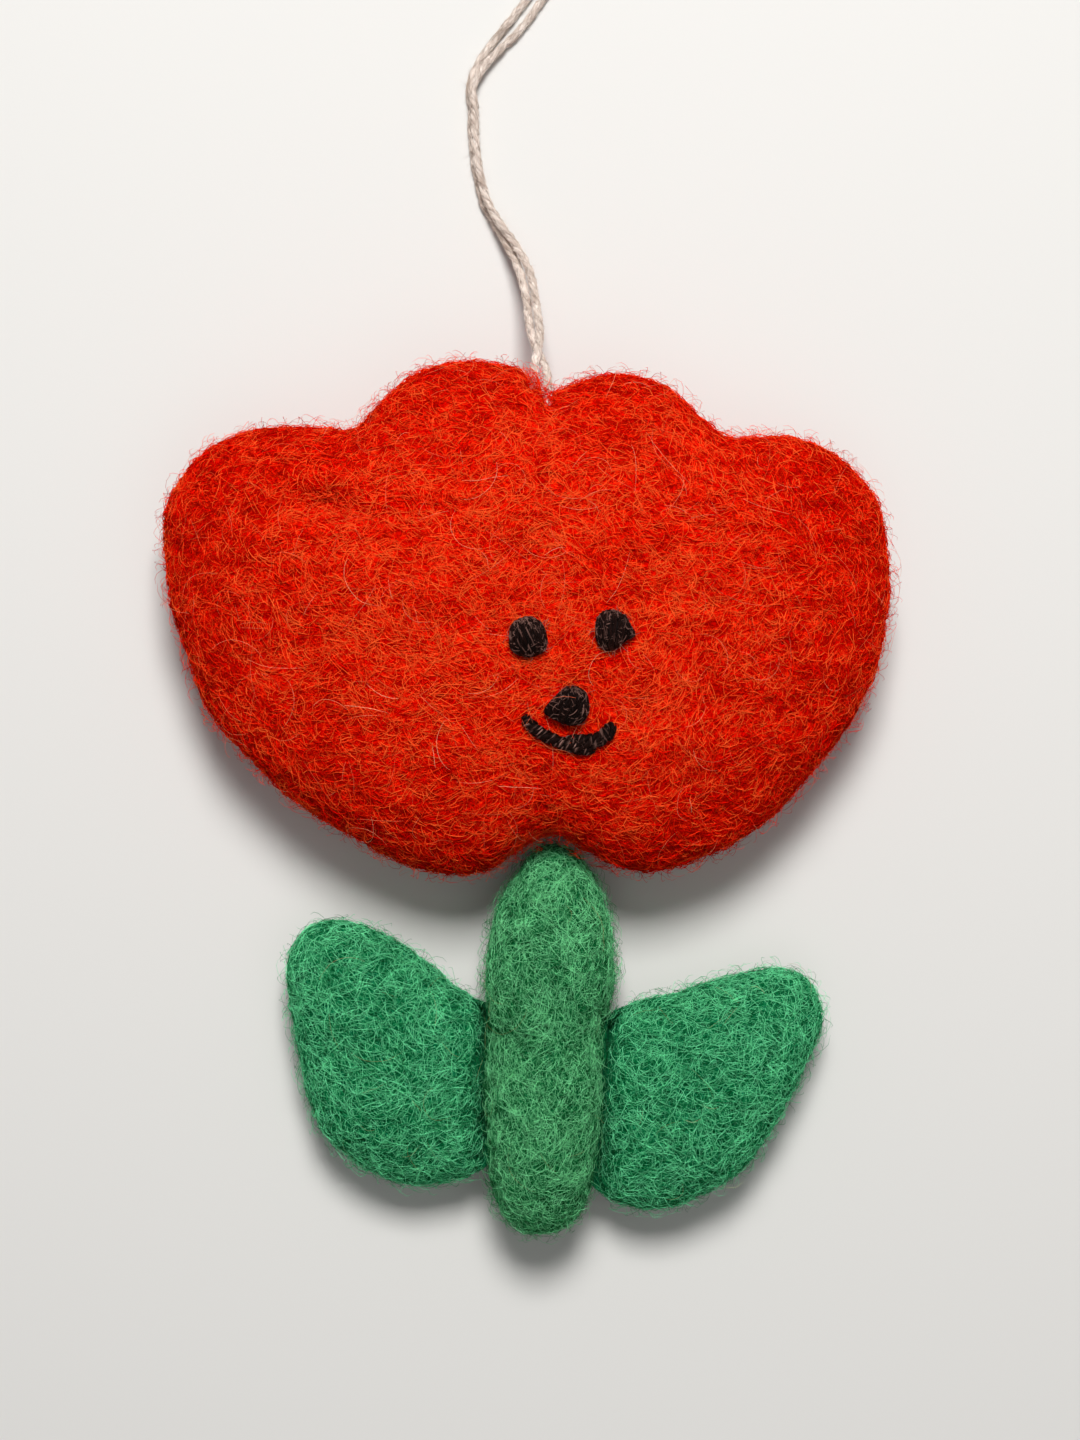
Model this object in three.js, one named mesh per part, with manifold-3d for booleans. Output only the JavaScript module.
// A needle-felted wool flower with a stitched face, a stem, two leaves and a hanging loop of yarn.
// All sizes are in millimetres. The flower lies on its back: +X to its picture right, +Y from the
// stem to the petals, +Z out of the face. The origin lies on the surface under its middle.
import * as THREE from "three";
import { mergeVertices } from "three/addons/utils/BufferGeometryUtils.js";
import Module from "manifold-3d";

// Driving dimensions of the felt
const HEAD_WIDTH = 100; // across the outer petals
const HEAD_HEIGHT = 70; // from the foot of the bowl to the tallest petal
const HEAD_FRONT = 15; // from the widest level to the face
const HEAD_BACK = 11.5; // from the widest level to the back
const HEAD_SKIN = 4.5; // thickness of the red wool over the core wool
const STEM_LENGTH = 53.9;
const STEM_WIDTH = 19.2;
const STEM_FRONT = 9.2;
const STEM_BACK = 9;
const STEM_NEST = 4.1; // how far the stem's tip reaches up beside the foot of the bowl
const STEM_OFFSET = 2.6; // from the head's middle line to the stem's
const NECK_RADIUS = 3.4; // of the stem's wool that is felted into the head
const NECK_DROP = 1.5; // from the stem's widest level down to the neck's middle
const NECK_LENGTH = 8;
const LEAF_REACH = 38; // from the stem's middle line to a leaf's outer side
const LEAF_HEIGHT = 37.5;
const LEAF_FRONT = 7.6;
const LEAF_BACK = 7;
const LEAF_LIFT = 6.9; // from the stem's foot to a leaf's
const ROOT_RADIUS = 2.6; // of a leaf's wool that is felted into the stem
const ROOT_LENGTH = 4;
const FLAT_DEPTH = 0.5; // what the flat resting side takes off each back
const GAP = 0.3; // clearance between two pieces that touch

// Driving dimensions of the stitched face
const EYE_SPACING = 11.4;
const EYE_LIFT = 0.9; // how much higher the right eye sits
const EYE_WIDTH = 5.2;
const EYE_HEIGHT = 5.6;
const EYE_RISE = 1.7; // how far an eye stands out of the felt
const NOSE_DROP = 9.6; // from the level of the eyes to the nose's middle
const NOSE_WIDTH = 6;
const NOSE_HEIGHT = 5.4;
const NOSE_RISE = 1.8;
const PAD_SINK = 1; // how far the eyes and the nose sink into the felt
const MOUTH_DROP = 3.3; // from the nose's foot to the lowest point of the smile
const MOUTH_WIDTH = 11.2;
const MOUTH_HEIGHT = 3.8;
const STITCH_DIAMETER = 1.6;
const STITCH_SINK = 0.9; // how far a stitch of the mouth sinks into the felt
const STITCH_DEPTH = 3; // how deep the mouth's inner stitch ends go
const THREAD_DIAMETER = 1;
const THREAD_COVER = 1.2; // from the inside of the red wool to the thread's middle
const THREAD_KNOT_DIAMETER = 2.4;
const THREAD_KNOT_REACH = 5.5; // from the left eye to the thread's knot

// Driving dimensions of the hanging loop
const YARN_DIAMETER = 1.2;
const KNOT_LENGTH = 5;
const KNOT_BARREL = 3; // diameter of the knot's middle
const KNOT_TURN = 1.4; // diameter of the turns that show round the knot
const KNOT_TURN_SHIFT = 0.8; // from the knot's middle to each turn's
const KNOT_TURN_TILT = Math.PI / 9;

// Finishes: colour and roughness
const RED_WOOL = [0xe0300c, 0.95];
const CORE_WOOL = [0xe9e1d0, 1];
const GREEN_WOOL = [0x2f7d5a, 0.95];
const BLACK_YARN = [0x161415, 0.85];
const COTTON = [0xcdbfb4, 0.95];

// How finely the forms are faceted: a felted form has 20 triangles times its number plus 1, squared
const HEAD_FACETS = 9;
const CORE_FACETS = 5;
const STEM_FACETS = 6;
const LEAF_FACETS = 5;
const PAD_FACETS = 2;
const PLUG_SIDES = 8;
const CORD_SIDES = 8;
const CORD_STEP_SHARE = 2.5; // length of a facet of the free cord, in its diameters
const THREAD_STEP_SHARE = 2;
const STITCH_STEP_SHARE = 0.7;
const BURIED_STEP_SHARE = 1.6;
const TURN_SIDES = 6;
const TURN_STEPS = 12;
const REACH_STEPS = 360; // directions in which an outline's distance is kept
const BLUR_STEPS = 18; // how many of them to each side the blurred outline takes in
const HALVINGS = 24; // steps of the search for the level line through a point

// Small distances that only serve the construction
const CUT_OVERRUN = 5;
const SLOPE_STEP = 0.5;
const OUTLINE_TENSION = 0.5;
const plugShoulderShares = [1, 0.7]; // where a plug starts to round off: radii out, radii from its tip
const plugTipShares = [0.75, 0.25];

// Outlines, in shares of each form's own width and height, counted from the middle of its box
const headOutlineShares = [
  [-0.5, 0.15], [-0.48, 0.26], [-0.435, 0.335], [-0.366, 0.37], [-0.29, 0.372], [-0.236, 0.372],
  [-0.205, 0.415], [-0.15, 0.48], [-0.09, 0.5], [-0.02, 0.49], [0.012, 0.452], [0.03, 0.436],
  [0.055, 0.45], [0.12, 0.475], [0.19, 0.455], [0.245, 0.385], [0.275, 0.352], [0.315, 0.352],
  [0.365, 0.352], [0.43, 0.315], [0.483, 0.23], [0.5, 0.11], [0.486, -0.05], [0.455, -0.17],
  [0.4, -0.29], [0.315, -0.41], [0.225, -0.48], [0.145, -0.497], [0.085, -0.455], [0.04, -0.42],
  [-0.01, -0.45], [-0.06, -0.5], [-0.14, -0.495], [-0.225, -0.44], [-0.325, -0.355],
  [-0.415, -0.22], [-0.47, -0.06],
];
const stemOutlineShares = [
  [0.06, 0.5], [0.29, 0.457], [0.44, 0.34], [0.5, 0.163], [0.469, -0.06], [0.406, -0.282],
  [0.27, -0.44], [-0.02, -0.5], [-0.302, -0.457], [-0.448, -0.32], [-0.5, -0.096],
  [-0.455, 0.126], [-0.35, 0.321], [-0.13, 0.452],
];
const leafLeftOutlineShares = [
  [-0.81, 0.466], [-0.687, 0.455], [-0.503, 0.365], [-0.318, 0.225], [-0.16, 0.12],
  [-0.121, -0.14], [-0.187, -0.4], [-0.305, -0.48], [-0.503, -0.5], [-0.687, -0.43],
  [-0.832, -0.27], [-0.905, -0.01], [-0.945, 0.25], [-0.9, 0.41],
];
const leafRightOutlineShares = [
  [0.813, 0.3], [0.655, 0.262], [0.458, 0.197], [0.287, 0.149], [0.142, 0.042],
  [0.09, -0.224], [0.142, -0.464], [0.26, -0.571], [0.445, -0.592], [0.629, -0.517],
  [0.787, -0.357], [0.932, -0.104], [1.005, 0.105], [0.955, 0.25],
];
const eyeLeftOutlineShares = [
  [-0.5, 0.02], [-0.38, 0.36], [0, 0.5], [0.36, 0.34], [0.5, -0.02], [0.42, -0.36],
  [0.02, -0.5], [-0.4, -0.36],
];
const eyeRightOutlineShares = [
  [-0.5, 0.02], [-0.4, 0.38], [-0.06, 0.5], [0.27, 0.38], [0.45, 0.1], [0.57, -0.12],
  [0.34, -0.24], [0.06, -0.46], [-0.22, -0.5], [-0.44, -0.3],
];
const noseOutlineShares = [
  [-0.56, -0.14], [-0.36, 0.2], [-0.08, 0.46], [0.2, 0.48], [0.42, 0.28], [0.47, -0.08],
  [0.36, -0.38], [0.08, -0.5], [-0.22, -0.4],
];

// Where each form's own middle lies in its box, in shares of the width and the height
const leafLeftMiddleShares = [-0.53, -0.06];
const leafRightMiddleShares = [0.55, -0.2];

// How long the height is kept across and along, and how full it is: 2 is an ellipse, more is fuller
const headFullnessShares = [2.35, 2.25, 2.3];
const stemFullnessShares = [2.05, 4.2, 2.05];
const leafFullnessShares = [2.25, 2.25, 2.15];
const padFullnessShares = [2.3, 2.3, 2.2];

// Creases run in from points of the outline: where, and how deep at the edge in heights
const headCreaseShares = [
  [-0.236, 0.372, 0.14], [0.026, 0.436, 0.16], [0.285, 0.352, 0.1], [0.04, -0.42, 0.12],
];
const CREASE_SPREAD = Math.PI / 22;
const EDGE_POWER = 5; // how closely the petals' notches keep to the edge

// Soft hollows in the face: middle and radii in widths and heights, depth in fronts
const headHollowShares = [
  [-0.275, 0.21, 0.085, 0.05, 0.075], [-0.01, 0.125, 0.035, 0.045, 0.04],
];

// Places on the head, from the middle of its box
const eyeMiddleShares = [0.059, -0.032];
const NOSE_SHIFT = 0.3; // from the middle between the eyes to the nose, towards the left eye
const mouthLeftShares = [
  [-0.5, 1], [-0.397, 0.7], [-0.272, 0.47], [-0.116, 0.26], [0.036, 0.105], [0.16, 0.013],
  [0.26, 0],
];
const mouthRightShares = [
  [0.018, 0.36], [0.152, 0.36], [0.277, 0.38], [0.384, 0.48], [0.464, 0.68], [0.5, 0.84],
];
const notchShares = [0.03, 0.436]; // between the inner petals
const leafLeftRootShare = -0.1; // where a leaf's root enters the stem, from the leaves' middle level
const leafRightRootShare = -0.35;

// The hanging loop's route, counted from the notch between the inner petals and from the
// resting surface. Both strands start on one level line, which they swing about, clear of the
// felt. They cross, come down and lie side by side
const leftStrandRoute = [
  [-2.1, 2.2, 14], [-2, 3.4, 13.9], [-1.8, 4.8, 13.4], [-1.4, 6.5, 12.6], [-1.2, 8.7, 11.4],
  [-1.6, 11.5, 9.8], [-2, 14.5, 7.9], [-2.7, 17.9, 5.9], [-4.75, 21.8, 4.1], [-6.9, 25, 2.85],
  [-8.5, 27.9, 2.1], [-9.4, 31, 1.87], [-10, 34.3, 1.85], [-10.3, 37.7, 1.85],
  [-10.35, 41.1, 1.85], [-10.6, 43.9, 1.87], [-9.1, 46.9, 1.6], [-6.7, 49.5, 1.1], [-3.9, 52.4, 0.65],
  [-1.5, 55.6, 0.6], [1, 59.1, 0.6], [3.7, 62.5, 0.6], [6.3, 65.9, 0.7], [8.3, 69.2, 1.3],
  [9.4, 71.3, 2],
];
const rightStrandRoute = [
  [-0.1, 2.2, 14], [-0.5, 3.6, 12.9], [-1.2, 5.3, 11.7], [-2, 7.5, 10.4], [-2.7, 10.5, 8.8],
  [-3.1, 13.9, 6.9], [-3.9, 17.6, 4.8],
  [-5.6, 21.5, 2.8], [-7.3, 24.75, 1.55], [-8.9, 27.7, 0.83], [-9.8, 30.9, 0.6],
  [-10.4, 34.3, 0.6], [-10.7, 37.7, 0.6], [-10.75, 41.1, 0.6], [-11, 44.4, 0.6],
  [-9.8, 47.7, 0.6], [-7.7, 50.6, 0.6], [-5.3, 53.7, 0.6], [-2.9, 56.8, 0.6],
  [-0.3, 60.2, 0.6], [2.4, 63.6, 0.6], [5, 66.8, 0.7], [7, 69.9, 1.3], [8, 72.1, 2],
];
// The yarn between the strands: in at the left hole, round inside the head, out at the right
// hole and over the petal's edge
const buriedStitchRoute = [
  [-2.1, 1.15, 14], [-2.5, -0.6, 13.8], [-3.6, -3.2, 13.2], [-4.9, -6.8, 12.7],
  [-3.4, -10.7, 12.7], [-0.6, -12.2, 12.9], [1.8, -10.6, 13.2], [2.4, -7.2, 13.9],
  [1.3, -4.2, 15], [0.1, -2, 15.75], [-0.15, -0.4, 15.5], [-0.1, 1.25, 14.65],
];
const knotPlace = [10.2, 73.9, 2.2];
const leftTailRoute = [
  [10.75, 76.35, 2.1], [11.2, 78.3, 1.4], [11.5, 80.6, 0.75], [11.2, 83, 0.6], [10.5, 85.3, 0.6],
];
const rightTailRoute = [
  [12.15, 75.45, 2.1], [13.5, 76.8, 1.4], [15.1, 78.2, 0.75], [17.1, 79.2, 0.6], [19.3, 79.8, 0.6],
];
const knotHeading = [0.55, 0.835, 0];

// Places that follow from the driving dimensions
const ornamentLength = HEAD_HEIGHT + STEM_LENGTH - STEM_NEST;
const headPlace = new THREE.Vector3(0, (ornamentLength - HEAD_HEIGHT) / 2, HEAD_BACK - FLAT_DEPTH);
const stemPlace = new THREE.Vector3(
  STEM_OFFSET,
  (STEM_LENGTH - ornamentLength) / 2,
  STEM_BACK - FLAT_DEPTH,
);
const leafPlace = new THREE.Vector3(
  STEM_OFFSET,
  LEAF_LIFT + (LEAF_HEIGHT - ornamentLength) / 2,
  LEAF_BACK - FLAT_DEPTH,
);
const notchPlace = new THREE.Vector3(
  notchShares[0] * HEAD_WIDTH,
  headPlace.y + notchShares[1] * HEAD_HEIGHT,
  0,
);
const rootDepth = HEAD_SKIN + THREAD_COVER - THREAD_DIAMETER / 2 - GAP;

const wasm = await Module();
wasm.setup();

// Solids

function toSolid(geometry) {
  geometry.deleteAttribute("normal");
  geometry.deleteAttribute("uv");
  const merged = mergeVertices(geometry);
  return new wasm.Manifold(
    new wasm.Mesh({
      numProp: 3,
      vertProperties: merged.attributes.position.array,
      triVerts: merged.index.array,
    }),
  );
}

function toGeometry(solid) {
  const { vertProperties, triVerts } = solid.getMesh();
  const geometry = new THREE.BufferGeometry();
  geometry.setAttribute("position", new THREE.BufferAttribute(new Float32Array(vertProperties), 3));
  geometry.setIndex(new THREE.BufferAttribute(new Uint32Array(triVerts), 1));
  geometry.computeVertexNormals();
  return geometry;
}

function joined(solids) {
  return solids.reduce((all, solid) => all.add(solid));
}

function without(solid, cutters) {
  return cutters.reduce((rest, cutter) => rest.subtract(cutter), solid);
}

// A closed outline as its distance from the middle in every direction, sharp and blurred
function outlineReach(shares, width, height, middle) {
  const points = shares.map(
    ([x, y]) => new THREE.Vector3((x - middle[0]) * width, (y - middle[1]) * height, 0),
  );
  const curve = new THREE.CatmullRomCurve3(points, true, "catmullrom", OUTLINE_TENSION);
  const samples = curve.getPoints(REACH_STEPS * 2).map((p) => [Math.atan2(p.y, p.x), p.length()]);
  samples.sort((a, b) => a[0] - b[0]);
  const last = samples[samples.length - 1];
  const turn = 2 * Math.PI;
  const ring = [[last[0] - turn, last[1]], ...samples, [samples[0][0] + turn, samples[0][1]]];
  const sharp = [];
  let next = 1;
  for (let i = 0; i < REACH_STEPS; i++) {
    const angle = (i / REACH_STEPS) * turn - Math.PI;
    while (ring[next][0] < angle) next++;
    const [[a0, r0], [a1, r1]] = [ring[next - 1], ring[next]];
    sharp.push(a1 > a0 ? r0 + ((r1 - r0) * (angle - a0)) / (a1 - a0) : r1);
  }
  const soft = sharp.map((_, i) => {
    let sum = 0;
    for (let k = -BLUR_STEPS; k <= BLUR_STEPS; k++) {
      sum += sharp[(i + k + REACH_STEPS) % REACH_STEPS];
    }
    return sum / (2 * BLUR_STEPS + 1);
  });
  const read = (table, angle) => {
    const place = ((angle + Math.PI) / turn) * REACH_STEPS;
    const low = Math.floor(place);
    const part = place - low;
    return table[low % REACH_STEPS] * (1 - part) + table[(low + 1) % REACH_STEPS] * part;
  };
  // Near the middle a level line follows the blurred outline, at the edge the sharp one
  return (angle, share) => {
    const edge = share ** EDGE_POWER;
    return read(soft, angle) * (1 - edge) + read(sharp, angle) * edge;
  };
}

// A felted form inside an outline, widest at its own level zero and rounded to front and back
function feltForm(size) {
  const { outline, width, height, front, back, fullness, facets } = size;
  const middle = size.middle ?? [0, 0];
  const creases = size.creases ?? [];
  const hollows = size.hollows ?? [];
  const centre = [middle[0] * width, middle[1] * height];
  const reach = outlineReach(outline, width, height, middle);
  const power = (angle) => fullness[0] + (fullness[1] - fullness[0]) * Math.sin(angle) ** 2;
  const creaseAngles = creases.map(([x, y]) =>
    Math.atan2(y * height - centre[1], x * width - centre[0]),
  );

  // What is left of the height at a direction, a share of the way to the outline
  function keptHeight(angle, share) {
    let kept = 1;
    creases.forEach(([, , depth], i) => {
      const away = Math.atan2(Math.sin(angle - creaseAngles[i]), Math.cos(angle - creaseAngles[i]));
      kept -= depth * Math.exp(-((away / CREASE_SPREAD) ** 2)) * share ** EDGE_POWER;
    });
    return kept;
  }

  function hollowDepth(x, y) {
    let depth = 0;
    for (const [hx, hy, rx, ry, share] of hollows) {
      const across = (x - hx * width) / (rx * width);
      const along = (y - hy * height) / (ry * height);
      depth += share * front * Math.exp(-(across * across + along * along));
    }
    return depth;
  }

  function surfacePoint(direction, grow) {
    const angle = Math.atan2(direction.y, direction.x);
    const level = Math.hypot(direction.x, direction.y);
    const share = level ** (2 / power(angle));
    const rise = Math.abs(direction.z) ** (2 / fullness[2]);
    const radius = share * (reach(angle, share) + grow);
    const x = centre[0] + radius * Math.cos(angle);
    const y = centre[1] + radius * Math.sin(angle);
    const kept = keptHeight(angle, share);
    if (direction.z < 0) return [x, y, -rise * (back * kept + grow)];
    return [x, y, rise * (front * kept + grow - hollowDepth(x, y))];
  }

  // The body itself, or the same body grown on every side
  function solid(grow = 0) {
    const geometry = new THREE.IcosahedronGeometry(1, facets);
    const position = geometry.attributes.position;
    const direction = new THREE.Vector3();
    for (let i = 0; i < position.count; i++) {
      direction.fromBufferAttribute(position, i).normalize();
      position.setXYZ(i, ...surfacePoint(direction, grow));
    }
    return toSolid(geometry);
  }

  // The height of the front over a point
  function frontAt(x, y) {
    const angle = Math.atan2(y - centre[1], x - centre[0]);
    const distance = Math.hypot(x - centre[0], y - centre[1]);
    let [low, high] = [0, 1];
    for (let i = 0; i < HALVINGS; i++) {
      const share = (low + high) / 2;
      if (share * reach(angle, share) < distance) low = share;
      else high = share;
    }
    const rise = (1 - low ** power(angle)) ** (1 / fullness[2]);
    return rise * (front * keptHeight(angle, low) - hollowDepth(x, y));
  }

  function normalAt(x, y) {
    const slopeX = frontAt(x + SLOPE_STEP, y) - frontAt(x - SLOPE_STEP, y);
    const slopeY = frontAt(x, y + SLOPE_STEP) - frontAt(x, y - SLOPE_STEP);
    return new THREE.Vector3(-slopeX, -slopeY, 2 * SLOPE_STEP).normalize();
  }

  return { solid, frontAt, normalAt };
}

// A round plug of felt or yarn that points along +Y from its own origin, with a rounded tip
function plug(radius, length, grow = 0) {
  const r = radius + grow;
  const tip = length + grow;
  const rounded = [plugShoulderShares, plugTipShares].map(([out, down]) => [r * out, tip - r * down]);
  const profile = [[0, -grow], [r, -grow], ...rounded, [0, tip]];
  const points = profile.map(([x, y]) => new THREE.Vector2(x, y));
  return toSolid(new THREE.LatheGeometry(points, PLUG_SIDES));
}

function turned(solid, from, to, place) {
  const turn = new THREE.Quaternion().setFromUnitVectors(from, to);
  const matrix = new THREE.Matrix4().compose(place, turn, new THREE.Vector3(1, 1, 1));
  return solid.transform(matrix.elements);
}

function curveThrough(points) {
  return new THREE.CatmullRomCurve3(points, false, "centripetal");
}

// A round cord along a route of points, or the same cord grown on every side
function cordAlong(points, diameter, stepShare, grow = 0) {
  const route = curveThrough(points);
  const steps = Math.ceil(route.getLength() / (stepShare * diameter));
  const corners = [];
  for (let i = 0; i < CORD_SIDES; i++) {
    const angle = (i / CORD_SIDES) * 2 * Math.PI;
    const radius = diameter / 2 + grow;
    corners.push(new THREE.Vector2(radius * Math.cos(angle), radius * Math.sin(angle)));
  }
  const section = new THREE.Shape(corners);
  return toSolid(new THREE.ExtrudeGeometry(section, { steps, extrudePath: route }));
}

// Everything below the resting surface
function belowRest() {
  const side = 2 * (HEAD_WIDTH + ornamentLength);
  const depth = HEAD_BACK + CUT_OVERRUN;
  const block = new THREE.BoxGeometry(side, side, depth);
  block.translate(0, 0, -depth / 2);
  return toSolid(block);
}

// The felt forms, in their own frames

const headSize = {
  outline: headOutlineShares,
  width: HEAD_WIDTH,
  height: HEAD_HEIGHT,
  front: HEAD_FRONT,
  back: HEAD_BACK,
  fullness: headFullnessShares,
  creases: headCreaseShares,
  hollows: headHollowShares,
};
const headForm = feltForm({ ...headSize, facets: HEAD_FACETS });
const coreForm = feltForm({ ...headSize, facets: CORE_FACETS });
const stemForm = feltForm({
  outline: stemOutlineShares,
  width: STEM_WIDTH,
  height: STEM_LENGTH,
  front: STEM_FRONT,
  back: STEM_BACK,
  fullness: stemFullnessShares,
  facets: STEM_FACETS,
});

function leafForm(outline, middle) {
  return feltForm({
    outline,
    width: LEAF_REACH,
    height: LEAF_HEIGHT,
    middle,
    front: LEAF_FRONT,
    back: LEAF_BACK,
    fullness: leafFullnessShares,
    facets: LEAF_FACETS,
  });
}

// A stitched dome of the face
function padForm(outline, width, height, rise) {
  return feltForm({
    outline,
    width,
    height,
    front: rise,
    back: PAD_SINK,
    fullness: padFullnessShares,
    facets: PAD_FACETS,
  });
}

// The stem with its neck, and what the head gives up for them

function stemWithNeck(grow = 0) {
  const start = new THREE.Vector3(0, STEM_LENGTH / 2 - NECK_LENGTH, -NECK_DROP);
  const neck = plug(NECK_RADIUS, 2 * NECK_LENGTH, grow).translate(start.toArray());
  return stemForm.solid(grow).add(neck).translate(stemPlace.toArray());
}

// A leaf's root, from inside the leaf into the stem
function leafRoot(side, grow = 0) {
  const from = new THREE.Vector3(0, 1, 0);
  const to = new THREE.Vector3(-side, 0, 0);
  const levelShare = side < 0 ? leafLeftRootShare : leafRightRootShare;
  const start = new THREE.Vector3(
    leafPlace.x + side * (STEM_WIDTH / 2 + ROOT_LENGTH),
    leafPlace.y + levelShare * LEAF_HEIGHT,
    leafPlace.z,
  );
  return turned(plug(ROOT_RADIUS, 2 * ROOT_LENGTH, grow), from, to, start);
}

const rest = belowRest();

function makeStem() {
  return without(stemWithNeck(), [leafRoot(-1, GAP), leafRoot(1, GAP), rest]);
}

function makeLeaf(side, outline, middle) {
  const body = leafForm(outline, middle).solid().translate(leafPlace.toArray());
  const seated = body.subtract(stemForm.solid(GAP).translate(stemPlace.toArray()));
  return without(seated.add(leafRoot(side)), [rest]);
}

// The face: places on the head's front, from the head's own middle

const eyesX = eyeMiddleShares[0] * HEAD_WIDTH;
const eyesY = eyeMiddleShares[1] * HEAD_HEIGHT;
const noseX = eyesX - NOSE_SHIFT;
const noseY = eyesY - NOSE_DROP;
const smileY = noseY - NOSE_HEIGHT / 2 - MOUTH_DROP;

function onFace(x, y, depth = 0) {
  const point = new THREE.Vector3(x, y, headForm.frontAt(x, y));
  return point.addScaledVector(headForm.normalAt(x, y), -depth).add(headPlace);
}

function pad(form, x, y, grow = 0) {
  const up = new THREE.Vector3(0, 0, 1);
  const out = headForm.normalAt(x, y);
  const dome = turned(form.solid(grow), up, out, onFace(x, y));
  const back = out.clone().negate();
  const root = plug(THREAD_DIAMETER / 2, rootDepth, grow);
  return dome.add(turned(root, new THREE.Vector3(0, 1, 0), back, onFace(x, y)));
}

const padPlaces = {
  eye_left: [
    padForm(eyeLeftOutlineShares, EYE_WIDTH, EYE_HEIGHT, EYE_RISE),
    eyesX - EYE_SPACING / 2,
    eyesY - EYE_LIFT / 2,
  ],
  eye_right: [
    padForm(eyeRightOutlineShares, EYE_WIDTH, EYE_HEIGHT, EYE_RISE),
    eyesX + EYE_SPACING / 2,
    eyesY + EYE_LIFT / 2,
  ],
  nose: [padForm(noseOutlineShares, NOSE_WIDTH, NOSE_HEIGHT, NOSE_RISE), noseX, noseY],
};

function mouthPoint([x, y], depth) {
  return onFace(noseX + x * MOUTH_WIDTH, smileY + y * MOUTH_HEIGHT, depth);
}

// A stitch that lies along the face and goes into the felt at both ends
function mouthStitch(shares, startDepth, endDepth, grow = 0) {
  const middleDepth = STITCH_SINK - STITCH_DIAMETER / 2;
  const points = [
    mouthPoint(shares[0], startDepth + grow),
    mouthPoint(shares[0], startDepth / 2),
    ...shares.slice(1, -1).map((share) => mouthPoint(share, middleDepth)),
    mouthPoint(shares[shares.length - 1], endDepth / 2),
    mouthPoint(shares[shares.length - 1], endDepth + grow),
  ];
  return cordAlong(points, STITCH_DIAMETER, STITCH_STEP_SHARE, grow);
}

const stitchLeft = (grow) => mouthStitch(mouthLeftShares, rootDepth, STITCH_DEPTH, grow);
const stitchRight = (grow) => mouthStitch(mouthRightShares, STITCH_DEPTH, rootDepth, grow);

// The yarn's hidden run under the red wool, from its knot past every root of the face
function faceThread(grow = 0) {
  const depth = HEAD_SKIN + THREAD_COVER;
  const [, leftX, leftY] = padPlaces.eye_left;
  const [, rightX, rightY] = padPlaces.eye_right;
  const run = [
    onFace(leftX - THREAD_KNOT_REACH, leftY, depth),
    onFace(leftX, leftY, depth),
    onFace(rightX, rightY, depth),
    mouthPoint(mouthRightShares[mouthRightShares.length - 1], depth),
    onFace(noseX, noseY, depth),
    mouthPoint(mouthLeftShares[0], depth),
  ];
  const thread = cordAlong(run, THREAD_DIAMETER, THREAD_STEP_SHARE, grow);
  const ball = new THREE.SphereGeometry(THREAD_KNOT_DIAMETER / 2 + grow, PLUG_SIDES, CORD_SIDES);
  return thread.add(toSolid(ball).translate(run[0].toArray()));
}

// The hanging loop

function routePoints(route) {
  return route.map((point) => new THREE.Vector3(...point).add(notchPlace));
}

function freeCord(route) {
  return cordAlong(routePoints(route), YARN_DIAMETER, CORD_STEP_SHARE);
}

// A strand with a round start, which stays in its own space as the loop swings
function strand(route) {
  const start = new THREE.SphereGeometry(YARN_DIAMETER / 2, CORD_SIDES, CORD_SIDES);
  const [place] = routePoints(route);
  return freeCord(route).add(toSolid(start).translate(place.toArray()));
}

function buriedStitch() {
  return cordAlong(routePoints(buriedStitchRoute), YARN_DIAMETER, BURIED_STEP_SHARE);
}

// The channel of the yarn through the head, open at both holes
function cordChannel() {
  const whole = [leftStrandRoute[0], ...buriedStitchRoute, rightStrandRoute[0]];
  return cordAlong(routePoints(whole), YARN_DIAMETER, BURIED_STEP_SHARE, GAP);
}

// An overhand knot of both strands: a barrel with two turns that lie aslant round it
function loopKnot() {
  const barrel = new THREE.SphereGeometry(1, PLUG_SIDES, PLUG_SIDES);
  barrel.scale(KNOT_BARREL / 2, KNOT_LENGTH / 2, KNOT_BARREL / 2);
  const turns = [-1, 1].map((side) => {
    const turn = new THREE.TorusGeometry(KNOT_BARREL / 2, KNOT_TURN / 2, TURN_SIDES, TURN_STEPS);
    turn.rotateX(Math.PI / 2 + side * KNOT_TURN_TILT);
    turn.translate(0, side * KNOT_TURN_SHIFT, 0);
    return toSolid(turn);
  });
  const knot = joined([toSolid(barrel), ...turns]);
  const heading = new THREE.Vector3(...knotHeading).normalize();
  const place = new THREE.Vector3(...knotPlace).add(notchPlace);
  return turned(knot, new THREE.Vector3(0, 1, 0), heading, place);
}

// The head's two layers, each cut by what is felted or sewn into it

function sewnIn(grow) {
  const pads = Object.values(padPlaces).map(([form, x, y]) => pad(form, x, y, grow));
  return [...pads, stitchLeft(grow), stitchRight(grow)];
}

function makeHeadFelt() {
  const cavity = coreForm.solid(-HEAD_SKIN).translate(headPlace.toArray());
  const body = headForm.solid().translate(headPlace.toArray());
  return without(body, [cavity, stemWithNeck(GAP), ...sewnIn(GAP), cordChannel(), rest]);
}

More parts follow.
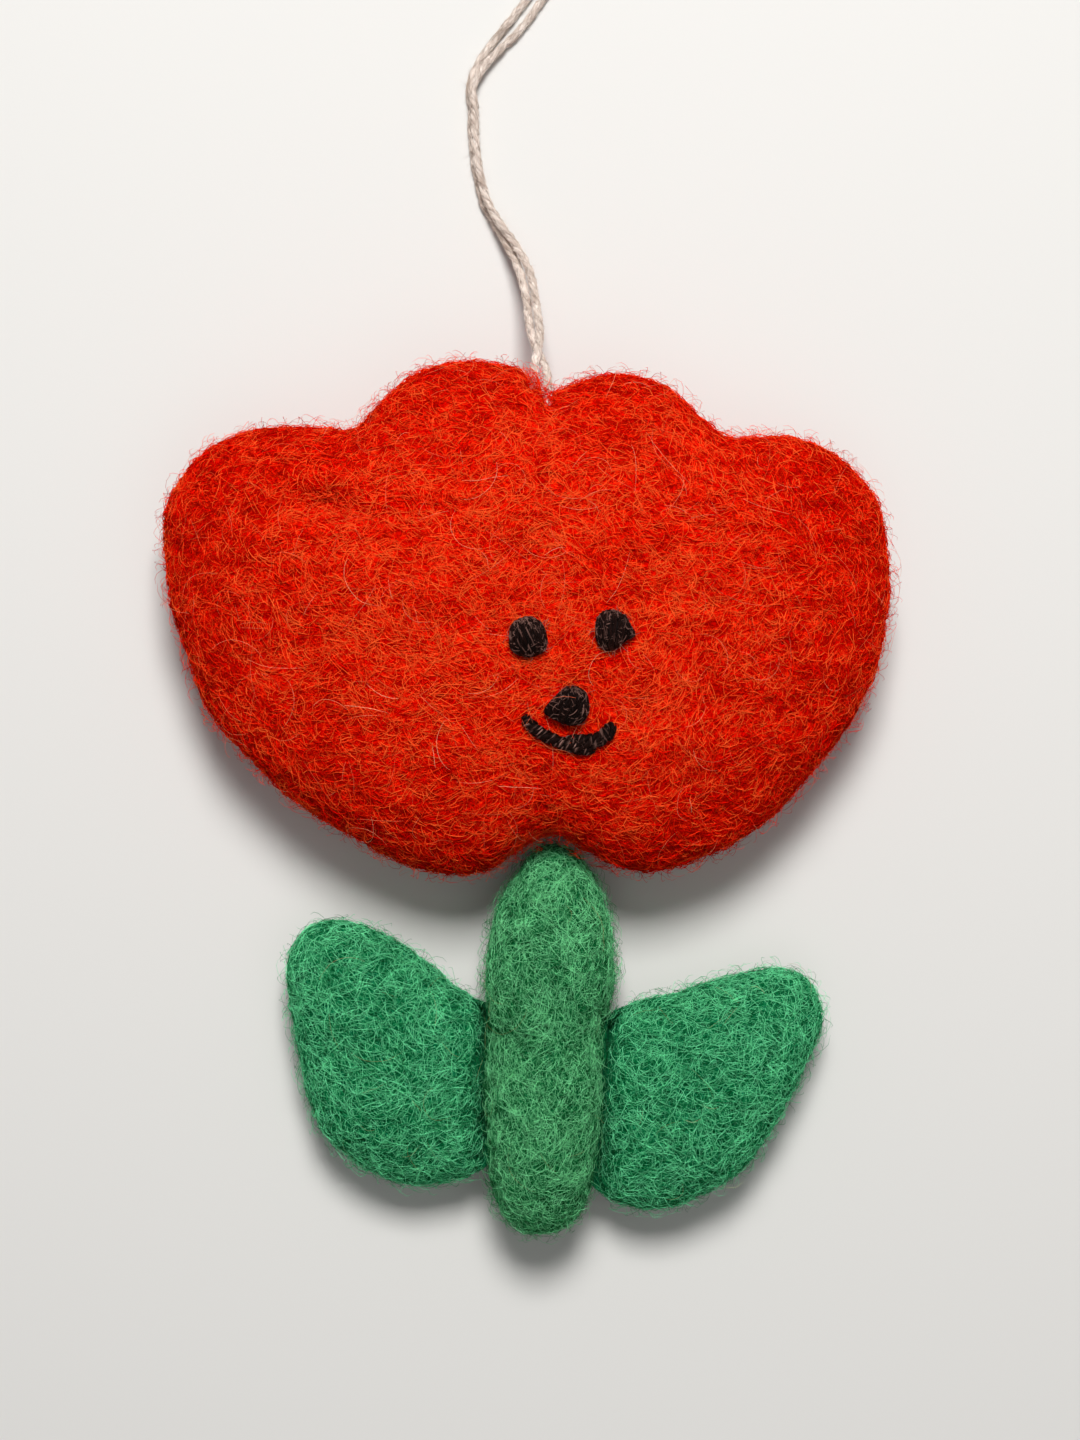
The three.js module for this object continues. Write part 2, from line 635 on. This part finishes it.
function makeHeadCore() {
  const body = coreForm.solid(-HEAD_SKIN - GAP).translate(headPlace.toArray());
  const cutters = [stemWithNeck(GAP), ...sewnIn(GAP), faceThread(GAP), cordChannel()];
  return without(body, cutters);
}

// Every piece as a mesh at its own place in its group

function piece(name, solid, place, [color, roughness]) {
  const geometry = toGeometry(solid.translate(place.clone().negate().toArray()));
  const material = new THREE.MeshStandardMaterial({ color, roughness, metalness: 0 });
  const mesh = new THREE.Mesh(geometry, material);
  mesh.name = name;
  mesh.position.copy(place);
  return mesh;
}

const flower = new THREE.Group();
const head = new THREE.Group();
const greens = new THREE.Group();
const hangingLoop = new THREE.Group();
flower.add(head, greens, hangingLoop);

head.add(
  piece("head_felt", makeHeadFelt(), headPlace, RED_WOOL),
  piece("head_core", makeHeadCore(), headPlace, CORE_WOOL),
  piece("face_thread", faceThread(), headPlace, BLACK_YARN),
);
for (const [name, [form, x, y]] of Object.entries(padPlaces)) {
  head.add(piece(name, pad(form, x, y), onFace(x, y), BLACK_YARN));
}
const leftStitch = stitchLeft(0).subtract(stitchRight(GAP));
head.add(
  piece("mouth_stitch_left", leftStitch, mouthPoint(mouthLeftShares[0]), BLACK_YARN),
  piece("mouth_stitch_right", stitchRight(0), mouthPoint(mouthRightShares[0]), BLACK_YARN),
);

const leafLeft = makeLeaf(-1, leafLeftOutlineShares, leafLeftMiddleShares);
const leafRight = makeLeaf(1, leafRightOutlineShares, leafRightMiddleShares);
greens.add(
  piece("stem_felt", makeStem(), stemPlace, GREEN_WOOL),
  piece("leaf_left", leafLeft, leafPlace, GREEN_WOOL),
  piece("leaf_right", leafRight, leafPlace, GREEN_WOOL),
);

hangingLoop.add(
  piece("cord_stitch", buriedStitch(), notchPlace, COTTON),
  piece("cord_strand_left", strand(leftStrandRoute), notchPlace, COTTON),
  piece("cord_strand_right", strand(rightStrandRoute), notchPlace, COTTON),
  piece("cord_knot", loopKnot(), notchPlace, COTTON),
  piece("cord_tail_left", freeCord(leftTailRoute), notchPlace, COTTON),
  piece("cord_tail_right", freeCord(rightTailRoute), notchPlace, COTTON),
);

export default flower;
